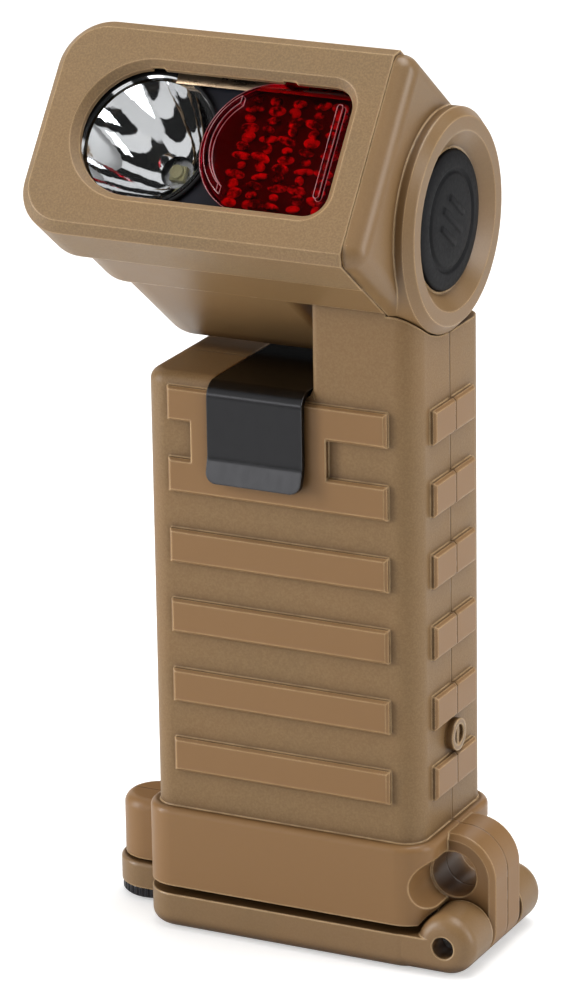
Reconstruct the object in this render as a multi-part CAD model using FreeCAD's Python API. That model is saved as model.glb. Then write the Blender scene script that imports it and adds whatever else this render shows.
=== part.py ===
"""Right-angle tactical flashlight: a flat two-cell body, a battery door on a hinge pin, and a tilting head.

Frame: X to the right, Y to the back, Z up. The origin lies under the middle of the body, on the
underside of the battery door. Millimetres and degrees.
"""
import FreeCAD, Part
import math
import os

V = FreeCAD.Vector

# ---- body ----
BODY_X, BODY_Y, BODY_R = 19.0, 10.35, 3.0        # half width, half depth, corner radius
SHOULDER_Z = 75.7                                # flat top left of the neck
BAR_X, BAR_Y = 15.3, 6.1                         # half lengths of the front and side grip bars
BAR_H, BAR_PITCH, BAR_TOP_Z, BAR_PROUD = 4.5, 9.5, 74.2, 0.85
COLLAR_X, COLLAR_Y, COLLAR_R = 20.35, 11.6, 4.3
COLLAR_Z0, COLLAR_Z1 = 6.1, 16.9
SEAM_W, SEAM_H = 0.12, 0.15                      # groove where the two shells meet: width, depth
CELL_X, CELL_R, CELL_Z0, CELL_L = 7.25, 7.1, 12.0, 49.2
NUB_R, NUB_H = 2.7, 0.7                          # the cells' positive ends
BAY_R, BAY_Z1 = 7.6, 66.0                        # battery bay: two bores joined side by side
CARRIER_Z0, CARRIER_Z1 = 64.3, 65.6              # plate that holds the upper contacts
BOARD_Z0, BOARD_Z1 = 67.4, 68.6                  # driver board
ROOM_Z1 = 73.2                                   # roof of the room above the bay

# ---- neck and pivot ----
NECK_X0, NECK_X1 = 4.75, 15.05                   # the middle of the clevis joint
PIVOT_Z = 96.7
PIVOT_R = 10.35                                  # round top of the neck
TILT = 37.3                                      # the beam's rise above horizontal at rest
SPINDLE_R, SPINDLE_BORE = 4.0, 2.6
SEAL_R, SEAL_T = 6.5, 0.7                        # the pivot's O-ring: ring radius and section radius
RUN = 0.05                                       # radial clearance of a running fit
SEAT_GAP = 0.2                                   # between the hub and its seat in the neck

# ---- head, in its own frame: x right, u up, w forward from the pivot ----
HEAD_U = 14.4
BEZEL_X0, BEZEL_X1, BEZEL_W0, BEZEL_W1 = -30.0, 15.3, 10.85, 19.55
MID_X0, MID_U, MID_W0 = -26.4, 14.25, 3.1
TAIL_X0, TAIL_X1, TAIL_U, TAIL_W0 = -24.5, 2.2, 14.0, -15.7
WALL = 1.6
CLEVIS_GAP = 0.35                                # round the neck, all the way through its swing
CAP_X0, CAP_X1, CAP_U, CAP_W1, CAP_EDGE_R = 15.35, 18.0, 14.15, 19.45, 2.3
HUB_R, HUB_X1, DISH_R0, DISH_R1, DISH_X = 14.2, 20.3, 11.3, 9.2, 18.7
BUTTON_R, BUTTON_TRAVEL = 8.85, 0.6
WINDOW_X0, WINDOW_X1, WINDOW_U = -24.2, 11.3, 8.55
LAMP_X, RIM_R, RIM_W = -16.3, 8.2, 15.3          # reflector axis and rim
FILTER_X, FILTER_R, FILTER_W0, FILTER_T = 0.7, 8.8, 16.2, 1.1
FILTER_WING_U = 9.4                              # half width of the plate where it runs between the rails

# ---- battery door ----
DOOR_T = 4.9
PIN_X, PIN_Z, PIN_R, KNUCKLE_R = 22.8, 4.04, 1.45, 4.0
LUG_X1, LUG_Y, LUG_GAP = 26.8, 4.4, 0.3          # the body's hinge lug and the gap to each knuckle
PIN_END_Y = 8.4                                  # the pin's ends lie sunk in the knuckles
LANYARD_X, LANYARD_Z, LANYARD_R = 21.3, 11.3, 3.1
SCREW_X, TAB_R, KNOB_R, BOSS_R = -23.7, 5.0, 4.85, 4.4
STUD_R, INSERT_BORE, INSERT_R = 1.65, 2.1, 3.2
BOSS_Z0, BOSS_Z1, TAB_Z0, TAB_Z1, KNOB_Z0 = 5.75, 14.0, 1.85, 5.35, 0.4

# ---- clip ----
CLIP_X0, CLIP_X1, CLIP_T = -8.95, 4.3, 0.8       # left and right edges, thickness of the steel
CLIP_BEND, CLIP_LIP_BEND, CLIP_CORNER_R = 1.2, 3.5, 1.5   # tight and gentle bends, rounding of the ends
CLIP_FRONT_Y, CLIP_LEAVES_Z = -12.35, 66.5       # face of the front tongue, where the rear leg stands off
CLIP_STANDOFF = 3.2                              # how far the rear leg stands off the back

parts = {}


# ---------------------------------------------------------------- helpers
def slab(x0, x1, y0, y1, z0, z1, r_left=0.0, r_right=None):
    """Box with rounded vertical edges: one radius for the two left ones, one for the right ones."""
    r_right = r_left if r_right is None else r_right
    box = Part.makeBox(x1 - x0, y1 - y0, z1 - z0, V(x0, y0, z0))
    for radius, x in ((r_left, x0), (r_right, x1)):
        if radius:
            upright = [e for e in box.Edges
                       if abs(e.BoundBox.XMin - x) < 1e-6 and e.BoundBox.XLength < 1e-6
                       and e.BoundBox.YLength < 1e-6]
            box = box.makeFillet(radius, upright)
    return box


def cyl(axis, r, a0, a1, p, q):
    """Cylinder along an axis from a0 to a1; p and q are its two other coordinates in X, Y, Z order."""
    places = {"x": (V(a0, p, q), V(1, 0, 0)), "y": (V(p, a0, q), V(0, 1, 0)), "z": (V(p, q, a0), V(0, 0, 1))}
    base, direction = places[axis]
    return Part.makeCylinder(r, a1 - a0, base, direction)


def tube(axis, r_out, r_in, a0, a1, p, q):
    return cyl(axis, r_out, a0, a1, p, q).cut(cyl(axis, r_in, a0 - 1, a1 + 1, p, q))


def cone_x(r0, r1, x0, x1):
    return Part.makeCone(r0, r1, x1 - x0, V(x0, 0, 0), V(1, 0, 0))


def edges_at(shape, z=None, x=None, y=None):
    """The edges that lie wholly on the given plane or planes."""
    found = []
    for edge in shape.Edges:
        b = edge.BoundBox
        hit = all(value is None or (abs(lo - value) < 1e-4 and abs(hi - value) < 1e-4)
                  for value, lo, hi in ((x, b.XMin, b.XMax), (y, b.YMin, b.YMax), (z, b.ZMin, b.ZMax)))
        if hit:
            found.append(edge)
    return found


def lies_at_x(edge, x):
    return abs(edge.BoundBox.XMin - x) < 1e-4 and abs(edge.BoundBox.XMax - x) < 1e-4


def head_slab(x0, x1, u0, u1, w0, w1, r_left=0.0, r_right=None):
    """A slab of the head, rounded along w. The head frame is (x, -w, u) in X, Y, Z."""
    block = slab(x0, x1, u0, u1, w0, w1, r_left, r_right)
    block.rotate(V(0, 0, 0), V(1, 0, 0), 90)
    return block


def head_cyl(r, w0, w1, x, u=0.0):
    return Part.makeCylinder(r, w1 - w0, V(x, -w0, u), V(0, -1, 0))


def fuse(first, *others):
    return first.multiFuse(list(others)).removeSplitter()


def in_head(shape):
    """From the head frame to the assembly at rest: tilted up, at the pivot."""
    shape.rotate(V(0, 0, 0), V(1, 0, 0), -TILT)
    shape.translate(V(0, 0, PIVOT_Z))
    return shape


def add(name, shape):
    parts[name] = shape


# ---------------------------------------------------------------- body shells
def grip_bars():
    """Raised bars: six on each narrow side, six across the front, four across the back."""
    bars = []
    for k in range(6):
        z1 = BAR_TOP_Z - k * BAR_PITCH
        for side in (-1, 1):
            x = side * BODY_X
            bar = slab(min(x - BAR_PROUD, x), max(x, x + BAR_PROUD) if side > 0 else x + 1, -BAR_Y, BAR_Y,
                       z1 - BAR_H - 0.44, z1 - 0.44)
            face = x + side * BAR_PROUD
            bars.append(bar.makeChamfer(0.35, edges_at(bar, x=face)))
        for side in (-1, 1):
            if side > 0 and k < 2:
                continue
            y = side * BODY_Y
            face = y + side * BAR_PROUD
            bar = slab(-BAR_X, BAR_X, min(face, y - side), max(face, y - side), z1 - BAR_H, z1)
            bars.append(bar.makeChamfer(0.35, edges_at(bar, y=face)))
    bridge = slab(-11.9, 7.05, -BODY_Y - BAR_PROUD, -BODY_Y + 1, BAR_TOP_Z - BAR_PITCH - 1, BAR_TOP_Z - 1)
    bars.append(bridge)
    return bars


def neck():
    """Column up from the shoulder, a round clevis tongue on top, and a stepped seat beside the hub."""
    column = slab(NECK_X0, BODY_X, -BODY_Y, BODY_Y, 60.0, 90.0, 0.9, BODY_R)
    seat = fuse(cyl("x", HUB_R + SEAT_GAP, NECK_X1, 30.0, 0, PIVOT_Z),
                slab(NECK_X1, 30.0, 0, 30.0, PIVOT_Z - CAP_U - 0.3, 110.0))
    column = column.cut(seat)
    tongue = slab(NECK_X0, NECK_X1, -BODY_Y, BODY_Y, 88.0, PIVOT_Z, 0.9, 0.0)
    top = cyl("x", PIVOT_R, NECK_X0, NECK_X1, 0, PIVOT_Z)
    top = top.makeChamfer(0.6, edges_at(top, x=NECK_X0))
    return fuse(column, tongue, top)


def hinge_lug():
    """Centre knuckle of the door hinge, tall enough to hold the lanyard hole."""
    lug = fuse(cyl("y", 5.6, -LUG_Y, LUG_Y, 21.2, 11.0),
               slab(PIN_X - KNUCKLE_R, LUG_X1, -LUG_Y, LUG_Y, PIN_Z, 11.0),
               slab(17.0, 21.2, -LUG_Y, LUG_Y, COLLAR_Z0, 16.6),
               cyl("y", KNUCKLE_R, -LUG_Y, LUG_Y, PIN_X, PIN_Z))
    rims = [e for e in edges_at(lug, y=-LUG_Y) + edges_at(lug, y=LUG_Y) if e.BoundBox.XMax > 21.0]
    return lug.makeChamfer(0.7, rims)


def screw_boss():
    """Post beside the collar that the thumb screw's insert sits in."""
    post = fuse(cyl("z", BOSS_R, BOSS_Z0, BOSS_Z1, SCREW_X, 0),
                slab(SCREW_X, -17.0, -BOSS_R, BOSS_R, BOSS_Z0, BOSS_Z1))
    return post.makeFillet(1.5, [e for e in edges_at(post, z=BOSS_Z1) if e.BoundBox.XMin < -17.1])


def prism_x(outline, x0, x1):
    """A closed outline of (y, z) points, swept from x0 to x1."""
    points = [V(x0, y, z) for y, z in outline]
    return Part.Face(Part.makePolygon(points + points[:1])).extrude(V(x1 - x0, 0, 0))


def clip_channel():
    """Recess that the clip's saddle lies flush in, with its back corner cut off for the clip's bend."""
    top, back = SHOULDER_Z - CLIP_T, BODY_Y - CLIP_T
    outline = [(-20.0, top), (back - CLIP_BEND, top), (back, top - CLIP_BEND), (back, CLIP_LEAVES_Z - 1.7),
               (20.0, CLIP_LEAVES_Z - 1.7), (20.0, 90.0), (-20.0, 90.0)]
    return prism_x(outline, CLIP_X0 - 0.2, CLIP_X1 + 0.2)


def battery_bay():
    bores = [cyl("z", BAY_R, 0.0, BAY_Z1, side * CELL_X, 0) for side in (-1, 1)]
    return fuse(*bores, slab(-CELL_X, CELL_X, -5.0, 5.0, 0.0, BAY_Z1))


def seam_grooves():
    """Shallow grooves that show where the front and rear shells meet, on the sides and on the lug."""
    half = SEAM_W / 2
    return [slab(BODY_X - SEAM_H, 30.0, -half, half, COLLAR_Z1 + 0.5, SHOULDER_Z + 12.0),
            slab(-30.0, -BODY_X + SEAM_H, -half, half, COLLAR_Z1 + 0.5, SHOULDER_Z - 2.0),
            slab(LUG_X1 - SEAM_H, 40.0, -half, half, -1.0, COLLAR_Z1)]


SHELL_SCREWS = [(side * 15.9, z) for side in (-1, 1) for z in (67.2, 38.7, 19.7)]
SCREW_R, HEAD_R, HEAD_SINK, HEAD_T = 0.88, 1.45, 0.7, 1.1    # small screws: shank, head, recess, head height
SCREW_SEAT_Y = BODY_Y - HEAD_SINK - HEAD_T
VENT_Z = BAR_TOP_Z - 4 * BAR_PITCH - BAR_H - 0.44 - (BAR_PITCH - BAR_H) / 2
CLIP_SCREWS = [(CLIP_X0 + 3.3, 70.0), (CLIP_X1 - 3.3, 70.0)]


def body_solid():
    block = slab(-BODY_X, BODY_X, -BODY_Y, BODY_Y, COLLAR_Z0, SHOULDER_Z, BODY_R)
    block = block.makeFillet(1.6, edges_at(block, z=SHOULDER_Z))
    collar = slab(-COLLAR_X, COLLAR_X, -COLLAR_Y, COLLAR_Y, COLLAR_Z0, COLLAR_Z1, COLLAR_R)
    collar = collar.makeFillet(0.9, edges_at(collar, z=COLLAR_Z1))
    solid = fuse(block, collar, neck(), hinge_lug(), screw_boss(), *grip_bars())
    relief = tube("y", KNUCKLE_R + 0.35, 0.01, LUG_Y, 20.0, PIN_X, PIN_Z)
    cuts = [battery_bay(),
            slab(-14.8, 14.8, -6.5, 6.5, BAY_Z1, ROOM_Z1, 1.0),
            slab(NECK_X0 + 1.8, NECK_X1 - 1.8, -4.0, 4.0, ROOM_Z1 - 1.2, PIVOT_Z),      # wire way up the neck
            cyl("x", SPINDLE_R, 0.0, 20.0, 0, PIVOT_Z),
            tube("x", SEAL_R + 0.8, SEAL_R - 0.8, NECK_X1 - 2 * SEAL_T - 0.1, 20.0, 0, PIVOT_Z),
            cyl("y", LANYARD_R, -LUG_Y - 0.1, LUG_Y + 0.1, LANYARD_X, LANYARD_Z),
            *[cyl("y", LANYARD_R + 0.3, *span, LANYARD_X, LANYARD_Z) for span in ((-20, -LUG_Y), (LUG_Y, 20))],
            cyl("y", PIN_R, -20.0, 20.0, PIN_X, PIN_Z),
            relief, relief.mirror(V(0, 0, 0), V(0, 1, 0)),
            cyl("z", INSERT_R, 0.0, 12.0, SCREW_X, 0),
            clip_channel(),
            cyl("x", 1.5, 16.0, 30.0, 0, VENT_Z),
            *seam_grooves()]
    cuts += [cyl("y", SCREW_R + 0.02, -6.0, 12.0, x, z) for x, z in SHELL_SCREWS]
    cuts += [cyl("y", HEAD_R + RUN, SCREW_SEAT_Y, 30.0, x, z) for x, z in SHELL_SCREWS]
    cuts += [cyl("y", SCREW_R + 0.02, 5.5, 12.0, x, z) for x, z in CLIP_SCREWS]
    for cutter in cuts:
        solid = solid.cut(cutter)
    return solid


def small_screw(x, z, tip_y, seat_y):
    """Pan-head screw along Y with a cross recess in its head."""
    head = cyl("y", HEAD_R, seat_y, seat_y + HEAD_T, x, z)
    head = head.makeFillet(0.35, edges_at(head, y=seat_y + HEAD_T))
    cross = fuse(*[slab(x - a, x + a, seat_y + HEAD_T - 0.6, seat_y + HEAD_T + 1, z - b, z + b)
                   for a, b in ((0.9, 0.2), (0.2, 0.9))])
    return fuse(cyl("y", SCREW_R, tip_y, seat_y, x, z), head).cut(cross)


def body():
    solid = body_solid()
    add("body_front_shell", solid.common(Part.makeBox(100, 50, 200, V(-50, -50, -10))))
    add("body_rear_shell", solid.common(Part.makeBox(100, 50, 200, V(-50, 0, -10))))
    add("shell_screws", Part.makeCompound([small_screw(x, z, -5.5, SCREW_SEAT_Y) for x, z in SHELL_SCREWS]))
    plug = fuse(cyl("x", 1.48, 16.5, 19.0, 0, VENT_Z), tube("x", 2.1, 1.35, 19.0, 20.1, 0, VENT_Z),
                slab(19.0, 19.9, -0.3, 0.3, VENT_Z - 1.5, VENT_Z + 1.5),
                cyl("x", 2.1, 19.0, 19.4, 0, VENT_Z))
    add("vent_plug", plug)
    add("threaded_insert", tube("z", INSERT_R - 0.02, INSERT_BORE, BOSS_Z0 + 0.15, 12.0, SCREW_X, 0))


# ---------------------------------------------------------------- spring clip over the shoulder
def clip_strip():
    """Strip of spring steel: a front tongue, a saddle over the shoulder and a long rear leg."""
    front, back, top = CLIP_FRONT_Y, BODY_Y, SHOULDER_Z
    leg = back + CLIP_STANDOFF
    path = [(front - 0.9, 62.8, 0), (front, 66.0, CLIP_LIP_BEND), (front, top, CLIP_BEND), (back, top, CLIP_BEND),
            (back, CLIP_LEAVES_Z, CLIP_BEND), (leg, 61.5, CLIP_LIP_BEND), (leg, 30.0, CLIP_LIP_BEND),
            (leg - 1.0, 26.5, CLIP_BEND), (leg + 1.0, 22.5, 0)]
    points = [V(0, y, z) for y, z, radius in path]
    runs = [(q - p).normalize() for p, q in zip(points, points[1:])]
    inner, bends = [], []
    for i, point in enumerate(points):
        before, after = runs[max(i - 1, 0)], runs[min(i, len(runs) - 1)]
        middle = (before + after).normalize()
        inward = V(0, middle.z, -middle.y)
        inner.append(point + inward * (CLIP_T / inward.dot(V(0, before.z, -before.y))))
        if 0 < i < len(points) - 1:
            clockwise = before.cross(after).x < 0
            radius = path[i][2]
            bends.append((point, radius + (CLIP_T if clockwise else 0.0)))
            bends.append((inner[-1], radius + (0.0 if clockwise else CLIP_T)))
    outline = [(p.y, p.z) for p in points + inner[::-1]]
    strip = prism_x(outline, CLIP_X0, CLIP_X1)
    for corner, radius in bends:
        edges = [e for e in strip.Edges if e.BoundBox.XLength > 5.0
                 and abs(e.BoundBox.YMin - corner.y) + abs(e.BoundBox.ZMin - corner.z) < 1e-3
                 and e.BoundBox.YLength + e.BoundBox.ZLength < 1e-3]
        strip = strip.makeFillet(radius, edges)
    ends = [e for e in strip.Edges if e.BoundBox.XLength < 1e-6 and abs(e.Length - CLIP_T) < 1e-3]
    return strip.makeFillet(CLIP_CORNER_R, ends)


def clip_parts():
    strip = clip_strip()
    for x, z in CLIP_SCREWS:
        strip = strip.cut(cyl("y", SCREW_R + RUN, 8.0, 12.0, x, z))
    add("spring_clip", strip)
    add("clip_screws", Part.makeCompound([small_screw(x, z, 6.0, BODY_Y) for x, z in CLIP_SCREWS]))


# ---------------------------------------------------------------- power
def coil(x, z0, z1, r, wire=0.35, turns=4):
    """Compression spring on a vertical axis, as a swept helix."""
    helix = Part.makeHelix((z1 - z0 - 2 * wire) / turns, z1 - z0 - 2 * wire, r)
    start = V(r, 0, 0)
    section = Part.Wire(Part.makeCircle(wire, start, V(0, 1, 0)))
    spring = Part.Wire(helix).makePipeShell([section], True, True)
    spring.translate(V(x, 0, z0 + wire))
    return spring


def power():
    """Two cells side by side, opposite ways up, with the contacts above them and the driver board."""
    z1 = CELL_Z0 + CELL_L
    for name, x, nub_z in (("cell_left", -CELL_X, z1), ("cell_right", CELL_X, CELL_Z0 - NUB_H)):
        can = cyl("z", CELL_R, CELL_Z0, z1, x, 0)
        can = can.makeChamfer(0.5, edges_at(can, z=CELL_Z0) + edges_at(can, z=z1))
        add(name, fuse(can, cyl("z", NUB_R, nub_z, nub_z + NUB_H, x, 0)))
    add("contact_carrier", slab(-CELL_X - 5.5, CELL_X + 5.5, -4.8, 4.8, CARRIER_Z0, CARRIER_Z1, 1.0))
    disc_z = z1 + NUB_H
    add("positive_contact", fuse(cyl("z", 3.2, disc_z, disc_z + 0.5, -CELL_X, 0),
                                 cyl("z", 1.6, disc_z + 0.5, CARRIER_Z0, -CELL_X, 0)))
    add("negative_spring", coil(CELL_X, z1, CARRIER_Z0, 3.4, turns=2))
    board = slab(-13.5, 13.5, -5.5, 5.5, BOARD_Z0, BOARD_Z1, 0.8)
    chips = [slab(x, x + 3.6, -2.4, 2.4, BOARD_Z1, BOARD_Z1 + 1.2) for x in (-10.0, -3.0, 5.5)]
    standoffs = [cyl("z", 1.2, CARRIER_Z1, BOARD_Z0, x, 0) for x in (-11.5, 11.5)]
    add("driver_board", fuse(board, *chips, *standoffs))


# ---------------------------------------------------------------- battery door and its screw
def door():
    """Plate with a plug that fits the bay, a screw tab on the left and two hinge knuckles on the right."""
    plate = slab(-COLLAR_X, COLLAR_X, -COLLAR_Y, COLLAR_Y, 0.0, DOOR_T, COLLAR_R)
    plate = plate.makeFillet(1.8, edges_at(plate, z=0.0))
    near, outer = LUG_Y + LUG_GAP, COLLAR_Y - 0.1                 # the knuckles' inner and outer ends
    plate = plate.cut(slab(PIN_X - KNUCKLE_R - 0.5, 40.0, -near, near, -1.0, 20.0))
    knuckles = []
    for y0, y1, end in ((-outer, -near, -outer), (near, outer, outer)):
        barrel = fuse(cyl("y", KNUCKLE_R, y0, y1, PIN_X, PIN_Z),
                      slab(17.0, PIN_X, y0, y1, PIN_Z - KNUCKLE_R, DOOR_T))
        rims = [e for e in edges_at(barrel, y=end) if e.BoundBox.ZMax > DOOR_T or e.BoundBox.XMax > PIN_X]
        knuckles.append(barrel.makeFillet(2.0, rims))
    tab = fuse(cyl("z", TAB_R, TAB_Z0, TAB_Z1, SCREW_X, 0),
               slab(SCREW_X, -18.0, -TAB_R, TAB_R, TAB_Z0, TAB_Z1))
    rims = [e for e in edges_at(tab, z=TAB_Z1) if e.BoundBox.XMax < -18.1 or e.BoundBox.XLength > 1.0]
    tab = tab.makeFillet(0.5, rims)
    tab = tab.cut(slab(-COLLAR_X + 0.5, 0.0, -30.0, 30.0, DOOR_T, 20.0))
    plug = [tube("z", BAY_R - 0.55, BAY_R - 1.9, DOOR_T - 0.5, 8.2, side * CELL_X, 0) for side in (-1, 1)]
    solid = fuse(plate, *knuckles, tab, *plug)
    for cutter in (slab(-3.0, 3.0, -2.8, 2.8, DOOR_T, 20.0),                  # way for the contact strap
                   cyl("z", KNOB_R + 0.35, -1.0, TAB_Z0, SCREW_X, 0),
                   cyl("y", PIN_R + RUN, -20.0, 20.0, PIN_X, PIN_Z),
                   cyl("z", STUD_R + 0.2, -1.0, 10.0, SCREW_X, 0),
                   cyl("z", 3.5, TAB_Z0 + 0.95, 10.0, SCREW_X, 0)):
        solid = solid.cut(cutter)
    add("battery_door", solid)
    add("hinge_pin", cyl("y", PIN_R, -PIN_END_Y, PIN_END_Y, PIN_X, PIN_Z))
    rubber, opening = [fuse(*[cyl("z", r, DOOR_T, COLLAR_Z0 - 0.35, side * CELL_X, 0) for side in (-1, 1)])
                       for r in (BAY_R + 0.9, BAY_R - 0.5)]
    add("door_gasket", rubber.cut(opening).cut(slab(-3.0, 3.0, -3.2, 3.2, DOOR_T, COLLAR_Z0)))


def door_contacts():
    """Brass strap that joins the two cells through the door, with a spring under each."""
    strap = slab(-CELL_X - 4.5, CELL_X + 4.5, -2.5, 2.5, DOOR_T, DOOR_T + 0.5, 1.0)
    add("contact_strap", strap)
    coils = [coil(-CELL_X, DOOR_T + 0.5, CELL_Z0 - 0.3, 3.0, turns=3),
             coil(CELL_X, DOOR_T + 0.5, CELL_Z0 - NUB_H - 0.3, 3.0, turns=3)]
    add("door_springs", Part.makeCompound(coils))


def thumb_screw():
    """Knurled knob under the tab, with its stud up into the insert, held by a spring clip ring."""
    knob = cyl("z", KNOB_R, KNOB_Z0, TAB_Z0 - 0.1, SCREW_X, 0)
    knob = knob.makeChamfer(0.25, edges_at(knob, z=KNOB_Z0))
    for k in range(36):
        groove = cyl("z", 0.22, 0.0, 3.0, SCREW_X + KNOB_R + 0.05, 0)
        groove.rotate(V(SCREW_X, 0, 0), V(0, 0, 1), k * 10.0)
        knob = knob.cut(groove)
    slot = slab(SCREW_X - 3.0, SCREW_X + 3.0, -0.5, 0.5, 0.0, KNOB_Z0 + 0.6)
    stud = cyl("z", STUD_R, TAB_Z0 - 0.2, 7.7, SCREW_X, 0)
    groove = tube("z", STUD_R + 0.1, STUD_R - 0.3, 4.86, 5.34, SCREW_X, 0)
    add("thumb_screw", fuse(knob.cut(slot), stud).cut(groove))
    ring = tube("z", 2.9, STUD_R - 0.27, 4.9, 5.3, SCREW_X, 0)
    add("captive_ring", ring.cut(slab(SCREW_X, SCREW_X + 5.0, -0.9, 0.9, 4.0, 6.0)))


# ---------------------------------------------------------------- pivot
def pivot():
    add("pivot_spindle", tube("x", SPINDLE_R, SPINDLE_BORE, -1.5, 16.9, 0, PIVOT_Z)
        .cut(tube("x", 5.0, 3.6, -0.9, -0.3, 0, PIVOT_Z)))
    add("spindle_clip", tube("x", 5.6, 3.6, -0.85, -0.35, 0, PIVOT_Z)
        .cut(slab(-2.0, 1.0, -1.2, 1.2, PIVOT_Z - 10, PIVOT_Z)))
    add("friction_washer", tube("x", 8.0, SPINDLE_R, TAIL_X1 + 0.3, NECK_X0, 0, PIVOT_Z))
    seal = Part.makeTorus(SEAL_R, SEAL_T, V(NECK_X1 - SEAL_T - 0.08, 0, PIVOT_Z), V(1, 0, 0))
    add("pivot_seal", seal)


# ---------------------------------------------------------------- head
def bezel():
    frame = head_slab(BEZEL_X0, BEZEL_X1, -HEAD_U, HEAD_U, BEZEL_W0, BEZEL_W1, 6.5, 0.0)
    rims = [e for e in edges_at(frame, y=-BEZEL_W1) if not lies_at_x(e, BEZEL_X1)]
    frame = frame.makeChamfer(1.25, rims)
    inside = head_slab(BEZEL_X0 + WALL, BEZEL_X1 - WALL, -HEAD_U + WALL, HEAD_U - WALL,
                       BEZEL_W0 - 1, 17.9, 5.0, 1.0)
    hole = head_slab(WINDOW_X0, WINDOW_X1, -WINDOW_U, WINDOW_U, 10.0, BEZEL_W1 + 1.0, WINDOW_U - 0.01, 3.0)
    solid = frame.cut(inside).cut(hole)
    rims = [e for e in edges_at(solid, y=-BEZEL_W1)
            if e.BoundBox.XMin > WINDOW_X0 - 1 and e.BoundBox.XMax < WINDOW_X1 + 1]
    solid = solid.makeChamfer(0.95, rims)
    notches = [head_cyl(0.9, 17.0, BEZEL_W1 - 0.9, x, WINDOW_U + 0.1) for x in (-16.0, 2.1)]
    for notch in notches:
        solid = solid.cut(notch)
    add("head_bezel", in_head(solid))


def clevis_pocket():
    """Everything the neck sweeps through, seen from the head, between the two stops."""
    x0, x1, gap, far = TAIL_X1, CAP_X0, CLEVIS_GAP, 30.0
    disc = Part.makeCylinder(PIVOT_R + gap, x1 - x0, V(x0, 0, 0), V(1, 0, 0))
    lower = slab(x0, x1, -BODY_Y - gap, far, -far, 0.0)
    lower.rotate(V(0, 0, 0), V(1, 0, 0), TILT)                   # the neck as the head sees it at rest
    behind = slab(x0, x1, 0.0, far, -far, far)
    above = slab(x0, x1, -BODY_Y - gap, far, 0.0, far)
    return fuse(disc, lower, behind, above)


def housing():
    """Moulding behind the bezel: a middle step, a tail box over the shoulder, and the clevis pocket."""
    middle = head_slab(MID_X0, BEZEL_X1 - 0.1, -MID_U, MID_U, MID_W0, BEZEL_W0 - 0.05, 6.0, 0.0)
    tail = head_slab(TAIL_X0, TAIL_X1, -TAIL_U, TAIL_U, TAIL_W0, MID_W0 + 1, 6.0, 0.8)
    tail = tail.makeFillet(1.2, edges_at(tail, y=-TAIL_W0))
    spigot = head_slab(BEZEL_X0 + WALL + 0.1, BEZEL_X1 - WALL - 0.1, -HEAD_U + WALL + 0.1,
                       HEAD_U - WALL - 0.1, 8.0, 12.3, 4.9, 0.9)
    cavity = head_slab(TAIL_X0 + WALL, 0.4, -TAIL_U + WALL, TAIL_U - WALL, TAIL_W0 + WALL, 20.0, 4.4, 0.5)
    wide = head_slab(MID_X0 + WALL, 0.4, -MID_U + WALL, MID_U - WALL, MID_W0 + WALL, 20.0, 4.4, 0.5)
    solid = fuse(middle, tail, spigot).cut(cavity).cut(wide).cut(clevis_pocket())
    solid = solid.cut(Part.makeCylinder(SPINDLE_R + RUN, 20.0, V(-5.0, 0, 0), V(1, 0, 0)))
    add("head_housing", in_head(solid))


def side_cap():
    """Right cheek of the clevis, with the dished hub round the switch."""
    cheek = head_slab(CAP_X0, CAP_X1, -CAP_U, CAP_U, -2.0, CAP_W1, 0.0, CAP_EDGE_R)
    front = [e for e in edges_at(cheek, y=-CAP_W1) if not lies_at_x(e, CAP_X0)]
    cheek = cheek.makeFillet(CAP_EDGE_R, front)
    hub = Part.makeCylinder(HUB_R, HUB_X1 - CAP_X0, V(CAP_X0, 0, 0), V(1, 0, 0))
    hub = hub.makeChamfer(1.1, edges_at(hub, x=HUB_X1))
    solid = fuse(cheek, hub)
    for cutter in (cone_x(DISH_R1, DISH_R0, DISH_X, HUB_X1), cone_x(DISH_R0, DISH_R0 + 0.3, HUB_X1, 20.4),
                   Part.makeCylinder(BUTTON_R + 0.1, 5.0, V(17.7, 0, 0), V(1, 0, 0)),
                   Part.makeCylinder(7.6, 5.0, V(17.0, 0, 0), V(1, 0, 0)),
                   Part.makeCylinder(SPINDLE_R + RUN, 20.0, V(0, 0, 0), V(1, 0, 0))):
        solid = solid.cut(cutter)
    add("head_side_cap", in_head(solid))


def switch():
    board = Part.makeCylinder(7.5, 0.4, V(17.02, 0, 0), V(1, 0, 0))
    dome = Part.makeSphere(4.0, V(17.65 - 4.0, 0, 0)).common(Part.makeBox(2, 10, 10, V(17.3, -5, -5)))
    add("switch_board", in_head(fuse(board, dome)))
    face = Part.makeCylinder(BUTTON_R, 0.6, V(18.35, 0, 0), V(1, 0, 0))
    crown_r = 60.0
    crown = Part.makeSphere(crown_r, V(19.5 - crown_r, 0, 0)).common(
        Part.makeCylinder(BUTTON_R, 3.0, V(18.9, 0, 0), V(1, 0, 0)))
    plunger = Part.makeCylinder(2.0, 0.1, V(18.3, 0, 0), V(1, 0, 0))
    add("switch_button", in_head(fuse(face, crown, plunger)))


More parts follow.
